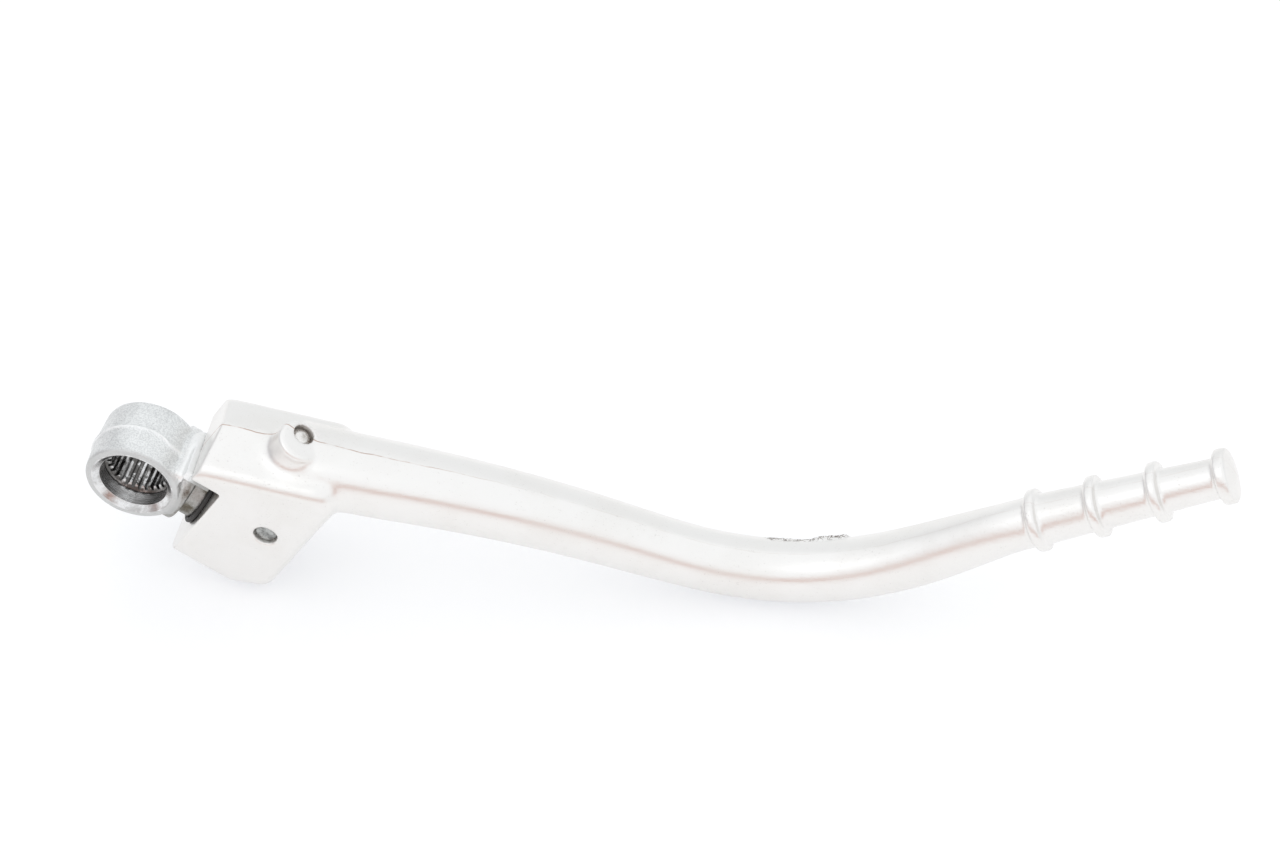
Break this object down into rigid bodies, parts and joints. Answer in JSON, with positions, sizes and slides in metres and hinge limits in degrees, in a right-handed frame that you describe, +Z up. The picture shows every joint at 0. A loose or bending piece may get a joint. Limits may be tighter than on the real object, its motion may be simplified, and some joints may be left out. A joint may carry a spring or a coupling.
{
  "type": "folding kick start lever",
  "caption": "Cranked forged lever with a ribbed foot pedal, folding sideways about the shank of a joint piece whose ring has a toothed bore for a shaft.",
  "frame": {"origin": "middle of the splined bore in the joint piece's ring", "axes": "+X along the lever towards the pedal, +Y along the bore away from its mouth, +Z up from the table it lies on"},
  "size_m": [0.2829, 0.044, 0.0664],
  "materials": {
    "joint_piece": "grainy forged grey, turned at the mouth",
    "shank_seal": "black",
    "kick_arm": "satin forged silver",
    "retaining_pin": "dark",
    "detent_plug": "polished",
    "detent_spring": "drawn wire",
    "detent_ball": "polished"
  },
  "bodies": {
    "shaft_joint": {"joint_piece": "joint_piece", "shank_seal": "shank_seal"},
    "lever": {"kick_arm": "kick_arm", "retaining_pin": "retaining_pin", "detent_plug": "detent_plug", "detent_spring": "detent_spring", "detent_ball": "detent_ball"}
  },
  "joints": [
    {"name": "fold", "type": "hinge", "parent": "shaft_joint", "child": "lever", "pos_m": [0, 0.0025, 0], "axis": [-0.848, 0, 0.5299], "range_deg": [0, 90]}
  ]
}
